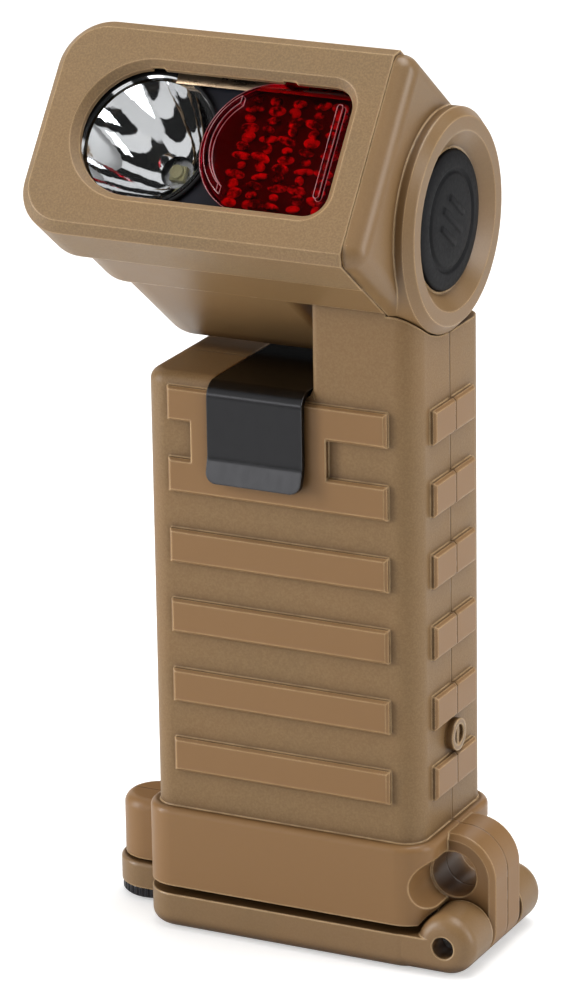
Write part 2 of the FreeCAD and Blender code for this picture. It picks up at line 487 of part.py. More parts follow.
def reflector():
    """Metallised bowl, with the lamp at its throat."""
    depth, throat, wall = 9.6, 2.2, 0.7
    k = (RIM_R ** 2 - throat ** 2) / depth
    steps = [i / 10.0 for i in range(11)]
    inner = [V(math.sqrt(throat ** 2 + k * depth * s), 0, depth * s) for s in steps]
    curve = Part.BSplineCurve()
    curve.interpolate(inner)
    outer = Part.BSplineCurve()
    outer.interpolate([V(p.x + wall, 0, p.z) for p in inner])
    ends = [Part.makeLine(inner[0], inner[0] + V(wall, 0, 0)), Part.makeLine(inner[-1], inner[-1] + V(wall, 0, 0))]
    profile = Part.Wire(Part.__sortEdges__([curve.toShape(), outer.toShape(), *ends]))
    bowl = Part.Face(profile).revolve(V(0, 0, 0), V(0, 0, 1), 360)
    bowl = Part.Solid(bowl) if bowl.ShapeType != "Solid" else bowl
    bowl.rotate(V(0, 0, 0), V(1, 0, 0), 90)
    bowl.translate(V(LAMP_X, -(RIM_W - depth), 0))
    add("reflector", in_head(bowl))
    throat_w = RIM_W - depth
    chip = fuse(head_slab(LAMP_X - 1.0, LAMP_X + 1.0, -1.0, 1.0, throat_w - 1.0, throat_w - 0.2),
                head_cyl(0.9, throat_w - 0.3, throat_w + 0.4, LAMP_X))
    add("led_emitter", in_head(chip))
    add("led_board", in_head(head_cyl(6.5, throat_w - 2.4, throat_w - 1.0, LAMP_X)))
    fins = [head_slab(LAMP_X - 6.0, LAMP_X + 6.0, u, u + 1.2, throat_w - 12.0, throat_w - 4.5)
            for u in (-5.6, -2.8, 0.0, 2.8, 5.6 - 1.2)]
    add("heat_sink", in_head(fuse(head_cyl(6.2, throat_w - 5.0, throat_w - 2.4, LAMP_X), *fins)))


def front_stack():
    """What lies between the reflector and the bezel: lens, gasket, filter track and its backing."""
    track = head_slab(BEZEL_X0 + WALL + 0.3, BEZEL_X1 - WALL - 0.3, -HEAD_U + WALL + 0.3,
                      HEAD_U - WALL - 0.3, 12.4, 15.3, 4.5, 0.7)
    track = track.cut(head_cyl(RIM_R + 0.72, 12.0, 16.0, LAMP_X))
    rails = [head_slab(BEZEL_X0 + 6.0, BEZEL_X1 - WALL - 0.4, *sorted((side * 9.7, side * 11.5)), 15.3, 17.8)
             for side in (-1, 1)]
    add("filter_track", in_head(fuse(track, *rails)))
    lens = head_cyl(RIM_R + 0.65, RIM_W + 0.02, RIM_W + 0.6, LAMP_X)
    add("window_lens", in_head(lens))
    seal = Part.makeTorus(RIM_R + 1.0, 0.28, V(LAMP_X, -(RIM_W + 0.31), 0), V(0, 1, 0))
    add("lens_gasket", in_head(seal.common(tube_head(RIM_R + 2.0, RIM_R + 0.66, 15.0, 16.0))))
    base = head_slab(-6.5, 12.6, -8.6, 8.6, 15.3, 15.5, 0.5)
    bumps = [head_slab(x, x + 2.0, u, u + 0.8, 15.5, 15.85)
             for x in (-3.6, -0.8, 2.0, 4.8, 7.6) for u in (-6.0, -4.0, -2.0, 0.0, 2.0, 4.0)]
    add("filter_backing", in_head(fuse(base, *bumps)))


def tube_head(r_out, r_in, w0, w1):
    return head_cyl(r_out, w0, w1, LAMP_X).cut(head_cyl(r_in, w0 - 1, w1 + 1, LAMP_X))


def red_filter():
    """D-shaped sliding filter with one curved and one straight finger bar."""
    w0, w1 = FILTER_W0, FILTER_W0 + FILTER_T
    plate = fuse(head_cyl(FILTER_R, w0, w1, FILTER_X),
                 head_slab(FILTER_X, 12.2, -FILTER_WING_U, FILTER_WING_U, w0, w1, 0.0, 1.0))
    ring = head_cyl(7.9, w1 - 0.1, w1 + 0.9, FILTER_X).cut(head_cyl(7.1, w1 - 1, w1 + 2, FILTER_X))
    ring = ring.common(head_slab(-9.0, -3.9, -9.0, 9.0, w1 - 1, w1 + 2))
    bar = head_slab(9.0, 9.8, -5.9, 6.6, w1 - 0.1, w1 + 0.9, 0.39)
    add("red_filter", in_head(fuse(plate, ring, bar)))


def build():
    body()
    clip_parts()
    power()
    door()
    door_contacts()
    thumb_screw()
    pivot()
    bezel()
    housing()
    side_cap()
    switch()
    reflector()
    front_stack()
    red_filter()


build()
os.makedirs("parts", exist_ok=True)
for name, shape in parts.items():
    print(name, shape.isValid(), round(shape.Volume, 1), len(shape.Solids))
    shape.exportStep(os.path.join("parts", name + ".step"))
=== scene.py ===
"""Right-angle tactical flashlight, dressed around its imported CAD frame, in the order it is put together."""

import math

import bpy
from mathutils import Matrix, Vector


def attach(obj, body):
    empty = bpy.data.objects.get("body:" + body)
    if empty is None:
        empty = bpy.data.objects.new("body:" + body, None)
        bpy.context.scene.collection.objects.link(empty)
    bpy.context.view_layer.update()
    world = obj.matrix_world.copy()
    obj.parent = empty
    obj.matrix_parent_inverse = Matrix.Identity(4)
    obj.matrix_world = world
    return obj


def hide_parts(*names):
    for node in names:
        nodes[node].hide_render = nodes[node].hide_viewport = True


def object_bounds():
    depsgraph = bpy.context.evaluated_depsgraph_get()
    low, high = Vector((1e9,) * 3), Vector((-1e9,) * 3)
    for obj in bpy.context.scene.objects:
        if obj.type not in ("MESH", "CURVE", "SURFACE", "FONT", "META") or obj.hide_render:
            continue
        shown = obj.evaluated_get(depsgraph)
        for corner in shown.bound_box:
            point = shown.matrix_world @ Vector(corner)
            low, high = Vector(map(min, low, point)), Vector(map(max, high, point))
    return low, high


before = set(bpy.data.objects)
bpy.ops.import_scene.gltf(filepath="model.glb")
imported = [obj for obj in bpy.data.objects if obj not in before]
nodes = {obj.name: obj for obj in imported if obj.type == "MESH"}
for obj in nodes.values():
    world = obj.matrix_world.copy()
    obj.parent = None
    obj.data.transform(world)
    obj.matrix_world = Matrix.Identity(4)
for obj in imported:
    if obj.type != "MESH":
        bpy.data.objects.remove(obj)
cad_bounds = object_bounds()
MM = 0.001


# ---------------------------------------------------------------- camera, floor and studio light
# A long lens looks slightly down on the front and the hinge side. A pale table, a softbox
# overhead and tall ones at both sides light the body softly. A small bright card at the front
# left puts thin highlights on the upper edges.
AZIMUTH, ELEVATION, ROLL = math.radians(26.491), math.radians(18.627), math.radians(-0.921)
AIM = Vector((-4.701, 0.0, 56.986)) * MM
DISTANCE = 666.616 * MM
FOCAL_LENGTH_MM = 187.44

back = Vector((math.sin(AZIMUTH) * math.cos(ELEVATION), -math.cos(AZIMUTH) * math.cos(ELEVATION),
               math.sin(ELEVATION)))
right = Vector((math.cos(AZIMUTH), math.sin(AZIMUTH), 0.0))
up = back.cross(right)
camera_x = math.cos(ROLL) * right + math.sin(ROLL) * up
camera_y = math.cos(ROLL) * up - math.sin(ROLL) * right
camera = bpy.data.objects.new("camera", bpy.data.cameras.new("camera"))
camera.data.lens = FOCAL_LENGTH_MM
camera.data.clip_end = 20.0
camera.matrix_world = Matrix.Translation(AIM + back * DISTANCE) @ Matrix(
    (camera_x, camera_y, back)).transposed().to_4x4()
bpy.context.scene.collection.objects.link(camera)
bpy.context.scene.camera = camera
bpy.context.scene.view_settings.view_transform = "Standard"


def softbox(name, place, width, height, watts):
    """A rectangular lamp that faces the middle of the light."""
    light = bpy.data.lights.new(name, "AREA")
    light.shape = "RECTANGLE"
    light.size, light.size_y, light.energy = width, height, watts
    lamp = bpy.data.objects.new(name, light)
    place = Vector(place)
    lamp.matrix_world = Matrix.Translation(place) @ (
        (MIDDLE - place).to_track_quat("-Z", "Y").to_matrix().to_4x4())
    bpy.context.scene.collection.objects.link(lamp)


MIDDLE = Vector((0.0, 0.0, 0.06))
softbox("overhead_softbox", (0.10, 0.10, 0.80), 0.70, 0.45, 4.4)
softbox("hub_side_softbox", (0.60, 0.04, 0.26), 0.20, 0.46, 1.7)
softbox("left_softbox", (-0.56, -0.34, 0.22), 0.20, 0.50, 3.2)
softbox("front_left_card", (-0.30, -0.63, 0.20), 0.30, 0.10, 0.32)


def math_node(tree, operation, *values):
    """A Math node; each value is a number or another node's output."""
    node = tree.nodes.new("ShaderNodeMath")
    node.operation = operation
    for socket, value in zip(node.inputs, values):
        if isinstance(value, (int, float)):
            socket.default_value = value
        else:
            tree.links.new(value, socket)
    return node.outputs[0]


def ramp(tree, value, low, high, to_low=0.0, to_high=1.0, step="SMOOTHSTEP"):
    """The value's way from low to high, mapped to another pair of numbers."""
    node = tree.nodes.new("ShaderNodeMapRange")
    node.interpolation_type = step
    for socket, number in (("From Min", low), ("From Max", high), ("To Min", to_low), ("To Max", to_high)):
        node.inputs[socket].default_value = number
    tree.links.new(value, node.inputs["Value"])
    return node.outputs["Result"]


MIX_SOCKETS = {"FLOAT": (2, 3, 0), "RGBA": (6, 7, 2)}      # both inputs and the output, by number


def mix(tree, factor, first, second, kind="RGBA"):
    """Blend of two colours or numbers, each given as such or as an output."""
    node = tree.nodes.new("ShaderNodeMix")
    node.data_type = kind
    tree.links.new(factor, node.inputs["Factor"])
    *both, result = MIX_SOCKETS[kind]
    for socket, value in zip(both, (first, second)):
        if isinstance(value, (tuple, float)):
            node.inputs[socket].default_value = value
        else:
            tree.links.new(value, node.inputs[socket])
    return node.outputs[result]


def dot(tree, first, second):
    """Dot product of a vector output with another one or with a fixed vector."""
    node = tree.nodes.new("ShaderNodeVectorMath")
    node.operation = "DOT_PRODUCT"
    tree.links.new(first, node.inputs[0])
    if isinstance(second, Vector):
        node.inputs[1].default_value = second
    else:
        tree.links.new(second, node.inputs[1])
    return node.outputs["Value"]


def split(tree, vector):
    """The X, Y and Z outputs of a vector."""
    node = tree.nodes.new("ShaderNodeSeparateXYZ")
    tree.links.new(vector, node.inputs[0])
    return node.outputs


# The room glows softly for matt surfaces, and is dark in front of the body's near corner, so
# that the corner falls off between its two lit faces. Polished ones see a bright ceiling over
# a dark wall with a few tall windows, which is what gives the reflector its streaks.
NEAR_CORNER = Vector((0.78, -0.62, 0.05)).normalized()
WINDOW_TURN, WINDOW_PITCH = 0.2, 0.38       # radians round the room
CEILING_LIGHT = 0.9
world = bpy.data.worlds.new("studio")
world.use_nodes = True
room = world.node_tree
outward = room.nodes.new("ShaderNodeTexCoord").outputs["Generated"]
direction = split(room, outward)
azimuth = math_node(room, "ARCTAN2", direction["Y"], direction["X"])
windows = math_node(room, "PINGPONG", math_node(room, "ADD", azimuth, WINDOW_TURN), WINDOW_PITCH)
panes = ramp(room, windows, 0.205, 0.225, 0.02, 1.0, "LINEAR")
ceiling = ramp(room, direction["Z"], 0.79, 0.83, 0.0, 1.0, "LINEAR")
mirrored = mix(room, ceiling, panes, CEILING_LIGHT, "FLOAT")
glow = ramp(room, dot(room, outward, NEAR_CORNER), 0.10, 0.88, 0.50, 0.02)
glossy_ray = room.nodes.new("ShaderNodeLightPath").outputs["Is Glossy Ray"]
room.links.new(mix(room, glossy_ray, glow, mirrored, "FLOAT"), room.nodes["Background"].inputs["Strength"])
room.nodes["Background"].inputs["Color"].default_value = (1.0, 0.99, 0.98, 1.0)
bpy.context.scene.world = world


def new_material(name):
    """A material with a bare Principled shader, and its node tree."""
    material = bpy.data.materials.new(name)
    material.use_nodes = True
    return material, material.node_tree, material.node_tree.nodes["Principled BSDF"]


# The table paper glows a little for the camera alone, so that it fades into the backdrop.
TABLE_SIZE, TABLE_GAP, PAPER_GLOW = 8.0, 0.0001, 0.42
bpy.ops.mesh.primitive_plane_add(size=TABLE_SIZE, location=(0, 0, cad_bounds[0][2] - TABLE_GAP))
floor = bpy.context.object
floor.name = "table"
paper, paper_tree, paper_bsdf = new_material("pale_paper")
paper_bsdf.inputs["Base Color"].default_value = (0.84, 0.84, 0.835, 1.0)
paper_bsdf.inputs["Roughness"].default_value = 0.9
paper_bsdf.inputs["Emission Color"].default_value = (1.0, 1.0, 1.0, 1.0)
camera_ray = paper_tree.nodes.new("ShaderNodeLightPath").outputs["Is Camera Ray"]
paper_tree.links.new(math_node(paper_tree, "MULTIPLY", camera_ray, PAPER_GLOW),
                     paper_bsdf.inputs["Emission Strength"])
floor.data.materials.append(paper)
bpy.ops.object.select_all(action="DESELECT")


# ---------------------------------------------------------------- body shells and vent plug
# Two glass-filled nylon mouldings that meet on a seam down the narrow sides. The walls are
# spark-eroded to a fine grain, the raised grip bars and the collar are smoother and warmer.
def node_group(name, inputs, outputs):
    """An empty shader group with named float or vector sockets."""
    tree = bpy.data.node_groups.new(name, "ShaderNodeTree")
    kinds = {"f": "NodeSocketFloat", "v": "NodeSocketVector"}
    for way, sockets in (("INPUT", inputs), ("OUTPUT", outputs)):
        for socket, kind in sockets:
            tree.interface.new_socket(socket, in_out=way, socket_type=kinds[kind])
    return tree, tree.nodes.new("NodeGroupInput").outputs, tree.nodes.new("NodeGroupOutput").inputs


def noise(tree, vector, scale, detail=2.0, rough=0.5):
    """Noise from 0 to 1 at a place; the scale is a number or an output."""
    texture = tree.nodes.new("ShaderNodeTexNoise")
    for socket, value in (("Detail", detail), ("Roughness", rough)):
        texture.inputs[socket].default_value = value
    if isinstance(scale, float):
        texture.inputs["Scale"].default_value = scale
    else:
        tree.links.new(scale, texture.inputs["Scale"])
    tree.links.new(vector, texture.inputs["Vector"])
    return texture.outputs["Fac"]


def object_place(tree):
    """The place on the piece, in metres from its origin."""
    return tree.nodes.new("ShaderNodeTexCoord").outputs["Object"]


# Edges, where the rounded normal leaves the true one, broken up by noise: wear and a painted highlight.
# Crevices, where nearby surfaces hide the open air: painted shade.
EDGE_AND_SHADE_SAMPLES, CREVICE_SHADE_REACH = 6, 2.4 * MM
edge_and_shade_tree, edge_and_shade_in, edge_and_shade_out = node_group(
    "edge_wear_highlight_and_shade", [("Radius", "f")], [("Edge", "f"), ("CreviceShade", "f"), ("Normal", "v")])
rounded = edge_and_shade_tree.nodes.new("ShaderNodeBevel")
rounded.samples = EDGE_AND_SHADE_SAMPLES
edge_and_shade_tree.links.new(edge_and_shade_in["Radius"], rounded.inputs["Radius"])
true_normal = edge_and_shade_tree.nodes.new("ShaderNodeNewGeometry").outputs["Normal"]
edge = ramp(edge_and_shade_tree, dot(edge_and_shade_tree, rounded.outputs["Normal"], true_normal), 0.992, 0.87)
patches = ramp(edge_and_shade_tree, noise(edge_and_shade_tree, object_place(edge_and_shade_tree), 420.0, 3.0), 0.25, 0.6, 0.6, 1.0)
edge_and_shade_tree.links.new(math_node(edge_and_shade_tree, "MULTIPLY", edge, patches), edge_and_shade_out["Edge"])
edge_and_shade_tree.links.new(rounded.outputs["Normal"], edge_and_shade_out["Normal"])
openness = edge_and_shade_tree.nodes.new("ShaderNodeAmbientOcclusion")
openness.samples = EDGE_AND_SHADE_SAMPLES
openness.inputs["Distance"].default_value = CREVICE_SHADE_REACH
edge_and_shade_tree.links.new(ramp(edge_and_shade_tree, openness.outputs["AO"], 0.98, 0.50), edge_and_shade_out["CreviceShade"])

# Moulded grain: a fine eroded texture over slow cloudiness in the colour.
CLOUD_SCALE = 70.0
grain_tree, grain_in, grain_out = node_group(
    "moulded_grain", [("Scale", "f")], [("Height", "f"), ("Speckle", "f"), ("Cloud", "f")])
grain_place = object_place(grain_tree)
fine = noise(grain_tree, grain_place, grain_in["Scale"], 3.0, 0.6)
grain_tree.links.new(fine, grain_out["Height"])
grain_tree.links.new(ramp(grain_tree, fine, 0.35, 0.68), grain_out["Speckle"])
grain_tree.links.new(noise(grain_tree, grain_place, CLOUD_SCALE, 4.0), grain_out["Cloud"])


def use_group(tree, group, **values):
    """A shader group with its values set; gives its outputs."""
    node = tree.nodes.new("ShaderNodeGroup")
    node.node_tree = group
    for socket, value in values.items():
        node.inputs[socket].default_value = value
    return node.outputs


def bump(tree, bsdf, height, normal, strength, depth):
    """Fine relief, its depth in metres, over the rounded normal and into the shader."""
    node = tree.nodes.new("ShaderNodeBump")
    node.inputs["Strength"].default_value = strength
    node.inputs["Distance"].default_value = depth
    tree.links.new(height, node.inputs["Height"])
    tree.links.new(normal, node.inputs["Normal"])
    tree.links.new(node.outputs["Normal"], bsdf.inputs["Normal"])


def dress(material, *names):
    """Gives CAD nodes their material."""
    for name in names:
        nodes[name].material_slots[0].material = material


# The edge colour paints worn edges and a highlight on them; the deep colour paints shade in crevices and the
# dark parting seam.
TAN, TAN_WARM = (0.218, 0.130, 0.056, 1.0), (0.262, 0.143, 0.058, 1.0)
TAN_WEAR_AND_HIGHLIGHT, TAN_SPECK = (0.76, 0.52, 0.28, 1.0), (0.32, 0.21, 0.10, 1.0)
# The grey colour is the bezel's, greyed as a painted sheen from the light above.
TAN_SHEEN_GREY, TAN_SHADE_AND_SEAM = (0.214, 0.140, 0.074, 1.0), (0.105, 0.052, 0.017, 1.0)
CLOUDY = (0.3, 0.7)     # the part of a noise's range that the eye sees


def tan_plastic(name, grain=1.0, smooth_mask=None, gloss=0.0, seam_mask=None, base=TAN):
    """Coyote-brown moulding. The masks mark its polished areas and a parting seam from the place."""
    material, tree, bsdf = new_material(name)
    bsdf.inputs["Specular IOR Level"].default_value = 0.24 + 1.8 * gloss
    edges_and_shade = use_group(tree, edge_and_shade_tree, Radius=0.45 * MM)
    cloth = use_group(tree, grain_tree, Scale=4200.0)
    colour = mix(tree, ramp(tree, cloth["Cloud"], *CLOUDY, 0.0, 0.4), base, TAN_WARM)
    speckle = math_node(tree, "MULTIPLY", cloth["Speckle"], 0.6 * grain)
    rough = ramp(tree, cloth["Cloud"], *CLOUDY, 0.43 - gloss, 0.50 - gloss)
    height = cloth["Height"]
    # Worn edges are lightened, as wear and as a painted highlight.
    wear_and_highlight = math_node(tree, "MULTIPLY", edges_and_shade["Edge"], 0.85)
    if smooth_mask:
        smooth = smooth_mask(tree)
        colour = mix(tree, smooth, colour, TAN_WARM)
        speckle = math_node(tree, "MULTIPLY", speckle, math_node(tree, "SUBTRACT", 1.0, smooth))
        rough = math_node(tree, "SUBTRACT", rough, math_node(tree, "MULTIPLY", smooth, 0.10))
        height = math_node(tree, "MULTIPLY", height, ramp(tree, smooth, 0.0, 1.0, 1.0, 0.3))
    colour = mix(tree, speckle, colour, TAN_SPECK)
    # Painted shade: crevices darken towards the deep colour.
    colour = mix(tree, math_node(tree, "MULTIPLY", edges_and_shade["CreviceShade"], 0.9), colour, TAN_SHADE_AND_SEAM)
    if seam_mask:
        seam = seam_mask(tree)
        wear_and_highlight = math_node(tree, "MULTIPLY", wear_and_highlight, math_node(tree, "SUBTRACT", 1.0, seam))
        colour = mix(tree, wear_and_highlight, colour, TAN_WEAR_AND_HIGHLIGHT)
        colour = mix(tree, ramp(tree, seam, 0.90, 0.96, 0.0, 0.6), colour, TAN_SHADE_AND_SEAM)
    else:
        colour = mix(tree, wear_and_highlight, colour, TAN_WEAR_AND_HIGHLIGHT)
    tree.links.new(colour, bsdf.inputs["Base Color"])
    tree.links.new(math_node(tree, "SUBTRACT", rough, math_node(tree, "MULTIPLY", edges_and_shade["Edge"], 0.10)),
                   bsdf.inputs["Roughness"])
    bump(tree, bsdf, height, edges_and_shade["Normal"], 0.75 * grain, 0.06 * MM)
    return material


# where the bars begin on the narrow sides and on the wide faces, and where the collar ends
SIDE_STEP, FACE_STEP, COLLAR_STEP = (19.45 * MM, 19.55 * MM), (10.80 * MM, 10.90 * MM), (17.0 * MM, 16.8 * MM)


def bars_and_collar(tree):
    """1 on what stands proud of the body's walls and below the top of the collar."""
    place = split(tree, object_place(tree))
    proud_x = ramp(tree, math_node(tree, "ABSOLUTE", place["X"]), *SIDE_STEP)
    proud_y = ramp(tree, math_node(tree, "ABSOLUTE", place["Y"]), *FACE_STEP)
    low = ramp(tree, place["Z"], *COLLAR_STEP)
    return math_node(tree, "MAXIMUM", low, math_node(tree, "MAXIMUM", proud_x, proud_y))


def parting_seam(tree):
    """1 at the plane where the two shells meet, fading to 0 a millimetre away."""
    place = split(tree, object_place(tree))
    away = math_node(tree, "DIVIDE", math_node(tree, "ABSOLUTE", place["Y"]), 1.0 * MM)
    return math_node(tree, "MAXIMUM", math_node(tree, "SUBTRACT", 1.0, away), 0.0)


shell_plastic = tan_plastic("tan_shell_plastic", 0.6, bars_and_collar, 0.03, parting_seam)
dress(shell_plastic, "body_front_shell", "body_rear_shell")
plain_tan = tan_plastic("tan_smooth_plastic", 0.25, gloss=0.12)
dress(plain_tan, "vent_plug")


# ---------------------------------------------------------------- steel and brass fittings
# Black-oxided screws and clip, bright turned pins and rings, brass insert and contacts, and
# nickel-plated spring wire. All of them carry fine marks from turning, drawing or rolling.
def shade(colour, factor, lift=0.0):
    """A colour made lighter or darker."""
    return tuple(min(1.0, c * factor + lift) for c in colour[:3]) + (1.0,)


def metal(name, colour, roughness, brushed, streak, relief=0.12):
    """Metal with fine turning or rolling marks; streak squeezes the noise along one axis."""
    material, tree, bsdf = new_material(name)
    edges_and_shade = use_group(tree, edge_and_shade_tree, Radius=0.2 * MM)
    mapping = tree.nodes.new("ShaderNodeMapping")
    mapping.inputs["Scale"].default_value = streak
    tree.links.new(object_place(tree), mapping.inputs["Vector"])
    marks = noise(tree, mapping.outputs["Vector"], 900.0, 4.0, 0.6)
    tree.links.new(ramp(tree, marks, *CLOUDY, roughness - brushed, roughness + brushed),
                   bsdf.inputs["Roughness"])
    base = mix(tree, ramp(tree, marks, *CLOUDY), shade(colour, 1.0 - 1.6 * relief), colour)
    tree.links.new(mix(tree, edges_and_shade["Edge"], base, shade(colour, 1.9, 0.03)), bsdf.inputs["Base Color"])
    bsdf.inputs["Metallic"].default_value = 1.0
    bump(tree, bsdf, marks, edges_and_shade["Normal"], relief, 0.02 * MM)
    return material


black_steel = metal("black_oxide_steel", (0.045, 0.045, 0.05, 1.0), 0.36, 0.05, (1.0, 0.25, 0.25))
clip_steel = metal("black_oxide_strip", (0.038, 0.038, 0.040, 1.0), 0.23, 0.02, (1.0, 1.0, 0.5), 0.03)
bright_steel = metal("turned_steel", (0.55, 0.55, 0.56, 1.0), 0.21, 0.04, (1.0, 1.0, 0.15))
brass = metal("brass", (0.78, 0.58, 0.26, 1.0), 0.26, 0.06, (1.0, 1.0, 0.3))
nickel = metal("nickel_wire", (0.66, 0.65, 0.62, 1.0), 0.22, 0.05, (1.0, 1.0, 1.0))
dress(black_steel, "shell_screws", "clip_screws", "thumb_screw")
dress(clip_steel, "spring_clip")
dress(bright_steel, "hinge_pin", "captive_ring", "pivot_spindle", "spindle_clip")
dress(brass, "threaded_insert", "positive_contact", "contact_strap")
dress(nickel, "negative_spring", "door_springs")


# ---------------------------------------------------------------- power: cells, carrier and boards
# Two AA cells in plain dark sleeves, a black nylon carrier and green boards. They sit inside
# and are seen only when the door is open or a shell is off.
def plain_finish(name, colour, roughness, vary=0.15, specular=0.5):
    """Matt or glossy surface with slight cloudiness and fine bump."""
    material, tree, bsdf = new_material(name)
    bsdf.inputs["Specular IOR Level"].default_value = specular
    edges_and_shade = use_group(tree, edge_and_shade_tree, Radius=0.25 * MM)
    cloth = use_group(tree, grain_tree, Scale=2400.0)
    base = mix(tree, ramp(tree, cloth["Cloud"], *CLOUDY), colour, shade(colour, 1 + vary, 0.004))
    # Edges lightened: wear and a painted highlight that brings out the relief.
    tree.links.new(mix(tree, math_node(tree, "MULTIPLY", edges_and_shade["Edge"], 0.6), base, shade(colour, 1.5, 0.01)),
                   bsdf.inputs["Base Color"])
    tree.links.new(ramp(tree, cloth["Height"], *CLOUDY, roughness - 0.05, roughness + 0.05),
                   bsdf.inputs["Roughness"])
    bump(tree, bsdf, cloth["Height"], edges_and_shade["Normal"], 0.2, 0.03 * MM)
    return material


black_nylon = plain_finish("black_nylon", (0.007, 0.008, 0.014, 1.0), 0.4, specular=0.2)
dress(plain_finish("cell_sleeve", (0.10, 0.10, 0.11, 1.0), 0.25), "cell_left", "cell_right")
dress(black_nylon, "contact_carrier", "friction_washer")
dress(plain_finish("circuit_board_green", (0.02, 0.13, 0.05, 1.0), 0.35),
      "driver_board", "switch_board")


# ---------------------------------------------------------------- battery door and the seals
# A smooth tan plate with two hinge knuckles, sealed by a rubber ring that the plug squeezes.
# The rings at the pivot and round the lens are of the same rubber.
black_rubber = plain_finish("black_rubber", (0.007, 0.007, 0.008, 1.0), 0.55, 0.25, specular=0.12)
dress(plain_tan, "battery_door")
dress(black_rubber, "door_gasket", "pivot_seal", "lens_gasket")


# ---------------------------------------------------------------- head mouldings
# Stepped tan mouldings: a bezel with a bevelled window, a housing behind it and a hub cheek.
# The bezel is coarser than the two smooth parts behind it, and greyer as a painted sheen.
head_plastic = tan_plastic("tan_head_plastic", 1.1, gloss=0.04, base=TAN_SHEEN_GREY)
dress(head_plastic, "head_bezel")
dress(plain_tan, "head_housing", "head_side_cap")


# ---------------------------------------------------------------- reflector and lamp
# A vacuum-metallised bowl with a small phosphor lamp at its throat, on an aluminium board and
# a finned heat sink. The bowl is very smooth, so the room's windows show in it as streaks.
mirror, mirror_tree, mirror_bsdf = new_material("vacuum_metal")
mirror_bsdf.inputs["Metallic"].default_value = 1.0
mirror_haze = use_group(mirror_tree, grain_tree, Scale=500.0)
mirror_tree.links.new(ramp(mirror_tree, mirror_haze["Cloud"], *CLOUDY, 0.012, 0.035),
                      mirror_bsdf.inputs["Roughness"])
silver = mix(mirror_tree, mirror_haze["Cloud"], (0.86, 0.87, 0.88, 1.0), (0.94, 0.94, 0.94, 1.0))
mirror_tree.links.new(silver, mirror_bsdf.inputs["Base Color"])
dress(mirror, "reflector")
dress(plain_finish("lamp_phosphor", (0.78, 0.70, 0.38, 1.0), 0.3), "led_emitter")
dress(metal("machined_aluminium", (0.75, 0.75, 0.76, 1.0), 0.3, 0.08, (1.0, 0.2, 1.0)),
      "heat_sink", "led_board")


# ---------------------------------------------------------------- window: lens, track and backing
# A thin clear lens over the lamp, a near-black track that the filter slides in, and the panel
# of small beads behind the filter's parked place.
def clear_plastic(name, colour, roughness=0.03, edge_highlight_colour=None):
    """Clear or tinted plastic; its edges may be painted lighter, as a highlight."""
    material, tree, bsdf = new_material(name)
    bsdf.inputs["Transmission Weight"].default_value = 1.0
    bsdf.inputs["IOR"].default_value = 1.49
    haze = use_group(tree, grain_tree, Scale=700.0)
    base = mix(tree, haze["Cloud"], colour, shade(colour, 0.9))
    if edge_highlight_colour:
        edges_and_shade = use_group(tree, edge_and_shade_tree, Radius=0.22 * MM)
        # Painted highlight: the edges are lighter and less clear.
        base = mix(tree, edges_and_shade["Edge"], base, edge_highlight_colour)
        tree.links.new(math_node(tree, "SUBTRACT", 1.0, math_node(tree, "MULTIPLY", edges_and_shade["Edge"], 0.75)),
                       bsdf.inputs["Transmission Weight"])
        tree.links.new(edges_and_shade["Normal"], bsdf.inputs["Normal"])
    tree.links.new(base, bsdf.inputs["Base Color"])
    tree.links.new(ramp(tree, haze["Cloud"], *CLOUDY, roughness, roughness + 0.03),
                   bsdf.inputs["Roughness"])
    return material


dress(clear_plastic("clear_lens", (0.98, 0.99, 1.0, 1.0)), "window_lens")
dress(black_nylon, "filter_track")

TILT, PIVOT = math.radians(37.3), Vector((0.0, 0.0, 96.7)) * MM
HEAD = Matrix.Translation(PIVOT) @ Matrix.Rotation(-TILT, 4, "X") @ Matrix(
    ((1, 0, 0, 0), (0, 0, -1, 0), (0, 1, 0, 0), (0, 0, 0, 1)))      # from (across, up, forward)
SMOOTH_ANGLE = math.radians(35)


def deselect():
    """Leaves nothing selected, for the operator that comes next."""
    bpy.ops.object.select_all(action="DESELECT")


def block(size, centre, round_edges, steps=2):
    """Rounded block in the head's frame, in millimetres."""
    deselect()
    bpy.ops.mesh.primitive_cube_add(size=1.0, location=Vector(centre) * MM)
    piece = bpy.context.object
    piece.scale = Vector(size) * MM
    bpy.ops.object.transform_apply(location=True, rotation=True, scale=True)
    bevel = piece.modifiers.new("rounding", "BEVEL")
    bevel.width, bevel.segments = round_edges * MM, steps
    bpy.ops.object.modifier_apply(modifier=bevel.name)
    return piece


def disc(radius, thickness, middle, vertices):
    """Round plate in the head's frame, in millimetres."""
    deselect()
    bpy.ops.mesh.primitive_cylinder_add(vertices=vertices, radius=radius * MM, depth=thickness * MM,
                                        location=Vector(middle) * MM)
    bpy.ops.object.transform_apply(location=True)
    return bpy.context.object


def join(pieces, name):
    """One piece from several, at the origin, with its faces smooth except at sharp edges."""
    deselect()
    for piece in pieces:
        piece.select_set(True)
    bpy.context.view_layer.objects.active = pieces[0]
    bpy.ops.object.join()
    whole = bpy.context.object
    whole.name = whole.data.name = name
    whole.data.transform(HEAD)
    bpy.ops.object.mode_set(mode="EDIT")
    bpy.ops.mesh.select_all(action="SELECT")
    bpy.ops.mesh.normals_make_consistent(inside=False)
    bpy.ops.object.mode_set(mode="OBJECT")
    bpy.ops.object.shade_smooth_by_angle(angle=SMOOTH_ANGLE)
    deselect()
    return whole


def finish_piece(piece, material, body, slot, *replaced):
    """Material and moving body of a new piece, and the CAD nodes that it stands for; slot is not used."""
    piece.data.materials.clear()
    piece.data.materials.append(material)
    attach(piece, body)
    if replaced:
        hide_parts(*replaced)
